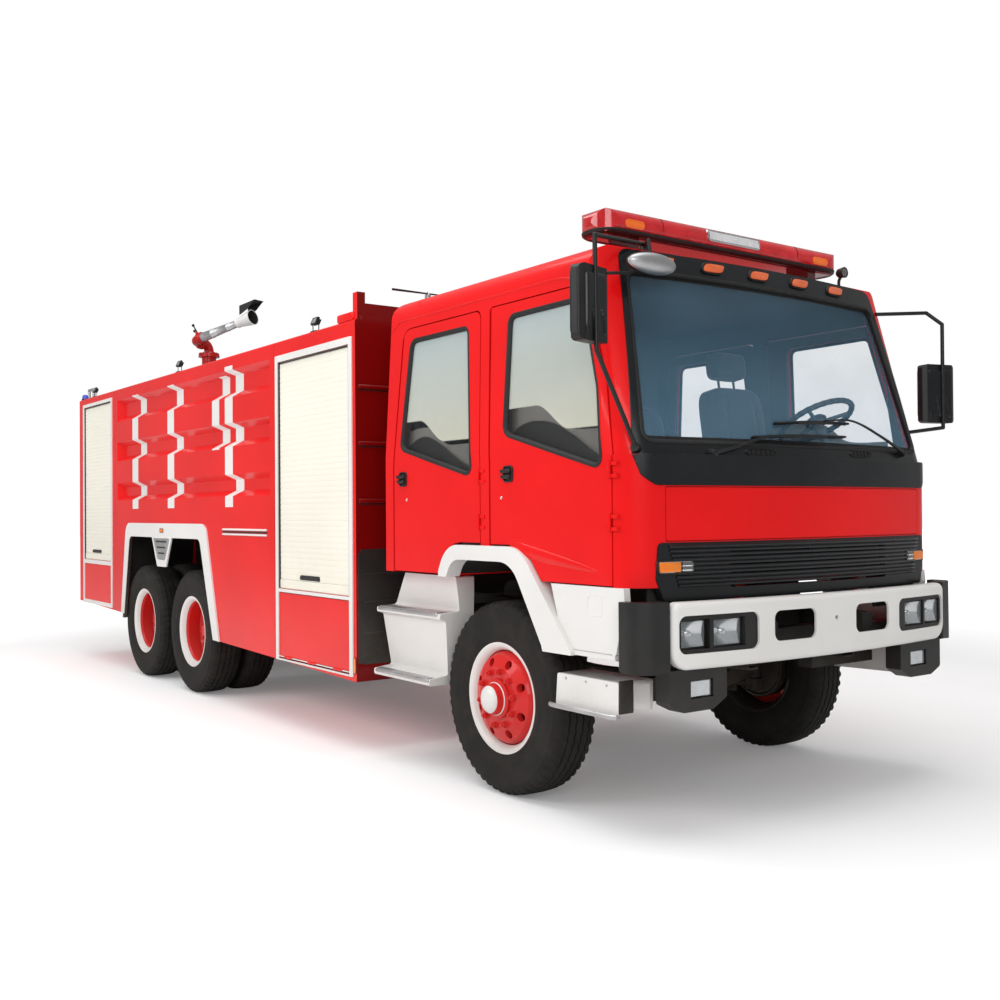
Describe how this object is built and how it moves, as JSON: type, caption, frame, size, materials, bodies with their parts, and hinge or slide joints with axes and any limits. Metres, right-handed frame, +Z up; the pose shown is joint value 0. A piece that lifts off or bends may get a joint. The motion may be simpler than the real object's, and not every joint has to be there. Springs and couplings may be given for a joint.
{
  "type": "tanker fire truck",
  "caption": "Three-axle crew-cab tanker fire truck with roof monitor, roller-shutter lockers, tilting cab, opening doors and steered front wheels.",
  "frame": {"origin": "on the ground below the middle of the overall length, on the centre line", "axes": "+X forward, +Y to the truck's left, +Z up"},
  "size_m": [9.04, 2.993, 3.7871],
  "materials": {
    "red_paint": "gloss",
    "white_paint": "gloss",
    "shutter_slats": "satin",
    "black_plastic": "matte",
    "glass": "gloss",
    "cab_plastic": "matte",
    "seat_cloth": "woven",
    "red_lens": "gloss",
    "lamp_plastic": "clear",
    "dark_steel": "satin",
    "aluminium": "brushed",
    "tyre": "matte"
  },
  "bodies": {
    "chassis": {"frame_rails": "dark_steel", "engine_block": "dark_steel", "cab_steps": "white_paint", "front_bumper": "white_paint", "bumper_plastics": "black_plastic", "headlamps": "lamp_plastic", "front_lockers": "red_paint", "tank_body": "red_paint", "pump_module": "red_paint", "roller_shutters": "shutter_slats", "shutter_frames": "white_paint", "arch_trims": "white_paint", "roof_deck": "aluminium", "roof_lamps": "black_plastic", "rear_ladder": "aluminium", "rear_step": "aluminium", "front_axle": "dark_steel", "rear_axles": "dark_steel", "monitor_base": "red_paint"},
    "cab": {"cab_shell": "red_paint", "windscreen": "glass", "front_hatch": "red_paint", "front_trim": "black_plastic", "wheel_flares": "white_paint", "dashboard": "cab_plastic", "seats": "seat_cloth", "mirrors": "black_plastic", "light_bar": "red_lens"},
    "steering_wheel": {"steering_wheel": "cab_plastic"},
    "tie_rod": {"tie_rod": "dark_steel"},
    "monitor_swivel": {"monitor_swivel": "red_paint"},
    "monitor_barrel": {"monitor_barrel": "dark_steel"},
    "front_door_left": {"front_door_left": "red_paint", "front_door_glass_left": "glass"},
    "rear_door_left": {"rear_door_left": "red_paint", "rear_door_glass_left": "glass"},
    "knuckle_left": {"knuckle_left": "dark_steel"},
    "front_wheel_left": {"front_tyre_left": "tyre", "front_rim_left": "red_paint"},
    "mid_wheels_left": {"mid_tyres_left": "tyre", "mid_rims_left": "red_paint"},
    "rear_wheels_left": {"rear_tyres_left": "tyre", "rear_rims_left": "red_paint"},
    "locker_flap_left": {"locker_flap_left": "red_paint"},
    "front_door_right": {"front_door_right": "red_paint", "front_door_glass_right": "glass"},
    "rear_door_right": {"rear_door_right": "red_paint", "rear_door_glass_right": "glass"},
    "knuckle_right": {"knuckle_right": "dark_steel"},
    "front_wheel_right": {"front_tyre_right": "tyre", "front_rim_right": "red_paint"},
    "mid_wheels_right": {"mid_tyres_right": "tyre", "mid_rims_right": "red_paint"},
    "rear_wheels_right": {"rear_tyres_right": "tyre", "rear_rims_right": "red_paint"},
    "locker_flap_right": {"locker_flap_right": "red_paint"}
  },
  "joints": [
    {"name": "cab_tilt", "type": "hinge", "parent": "chassis", "child": "cab", "pos_m": [4.265, 0, 1.125], "axis": [0, 1, 0], "range_deg": [0, 45]},
    {"name": "front_door_hinge_left", "type": "hinge", "parent": "cab", "child": "front_door_left", "pos_m": [4.153, 1.204, 1.605], "axis": [0, 0, -1], "range_deg": [0, 70]},
    {"name": "rear_door_hinge_left", "type": "hinge", "parent": "cab", "child": "rear_door_left", "pos_m": [3.083, 1.204, 1.605], "axis": [0, 0, -1], "range_deg": [0, 70]},
    {"name": "steer_left", "type": "hinge", "parent": "chassis", "child": "knuckle_left", "pos_m": [3.185, 0.9, 0.525], "axis": [0, 0, 1], "range_deg": [-35, 35]},
    {"name": "front_wheel_spin_left", "type": "hinge", "parent": "knuckle_left", "child": "front_wheel_left", "pos_m": [3.185, 1.015, 0.525], "axis": [0, 1, 0], "continuous": true},
    {"name": "mid_wheels_spin_left", "type": "hinge", "parent": "chassis", "child": "mid_wheels_left", "pos_m": [-1.205, 0.928, 0.525], "axis": [0, 1, 0], "continuous": true},
    {"name": "rear_wheels_spin_left", "type": "hinge", "parent": "chassis", "child": "rear_wheels_left", "pos_m": [-2.435, 0.928, 0.525], "axis": [0, 1, 0], "continuous": true},
    {"name": "locker_flap_hinge_left", "type": "hinge", "parent": "chassis", "child": "locker_flap_left", "pos_m": [1.1685, 1.255, 0.507], "axis": [-1, 0, 0], "range_deg": [0, 90]},
    {"name": "front_door_hinge_right", "type": "hinge", "parent": "cab", "child": "front_door_right", "pos_m": [4.153, -1.204, 1.605], "axis": [0, 0, 1], "range_deg": [0, 70]},
    {"name": "rear_door_hinge_right", "type": "hinge", "parent": "cab", "child": "rear_door_right", "pos_m": [3.083, -1.204, 1.605], "axis": [0, 0, 1], "range_deg": [0, 70]},
    {"name": "steer_right", "type": "hinge", "parent": "chassis", "child": "knuckle_right", "pos_m": [3.185, -0.9, 0.525], "axis": [0, 0, 1], "range_deg": [-35, 35]},
    {"name": "front_wheel_spin_right", "type": "hinge", "parent": "knuckle_right", "child": "front_wheel_right", "pos_m": [3.185, -1.015, 0.525], "axis": [0, 1, 0], "continuous": true},
    {"name": "mid_wheels_spin_right", "type": "hinge", "parent": "chassis", "child": "mid_wheels_right", "pos_m": [-1.205, -0.928, 0.525], "axis": [0, 1, 0], "continuous": true},
    {"name": "rear_wheels_spin_right", "type": "hinge", "parent": "chassis", "child": "rear_wheels_right", "pos_m": [-2.435, -0.928, 0.525], "axis": [0, 1, 0], "continuous": true},
    {"name": "locker_flap_hinge_right", "type": "hinge", "parent": "chassis", "child": "locker_flap_right", "pos_m": [1.1685, -1.255, 0.507], "axis": [1, 0, 0], "range_deg": [0, 90]},
    {"name": "tie_rod_pivot", "type": "hinge", "parent": "knuckle_left", "child": "tie_rod", "pos_m": [3.015, 0.9, 0.4], "axis": [0, 0, 1], "range_deg": [-35, 35]},
    {"name": "steering_wheel_turn", "type": "hinge", "parent": "cab", "child": "steering_wheel", "pos_m": [3.975, 0.55, 2.04], "axis": [-0.5, 0, 0.866], "range_deg": [-700, 700]},
    {"name": "monitor_yaw", "type": "hinge", "parent": "chassis", "child": "monitor_swivel", "pos_m": [-3.865, 0, 3.3], "axis": [0, 0, 1], "range_deg": [-170, 170]},
    {"name": "monitor_pitch", "type": "hinge", "parent": "monitor_swivel", "child": "monitor_barrel", "pos_m": [-3.865, 0, 3.43], "axis": [0.4067, -0.9135, 0], "range_deg": [-35, 55]}
  ],
  "couplings": [
    {"joint": "steer_right", "follows": "steer_left", "ratio": 1},
    {"joint": "tie_rod_pivot", "follows": "steer_left", "ratio": -1},
    {"joint": "steering_wheel_turn", "follows": "steer_left", "ratio": 20}
  ]
}
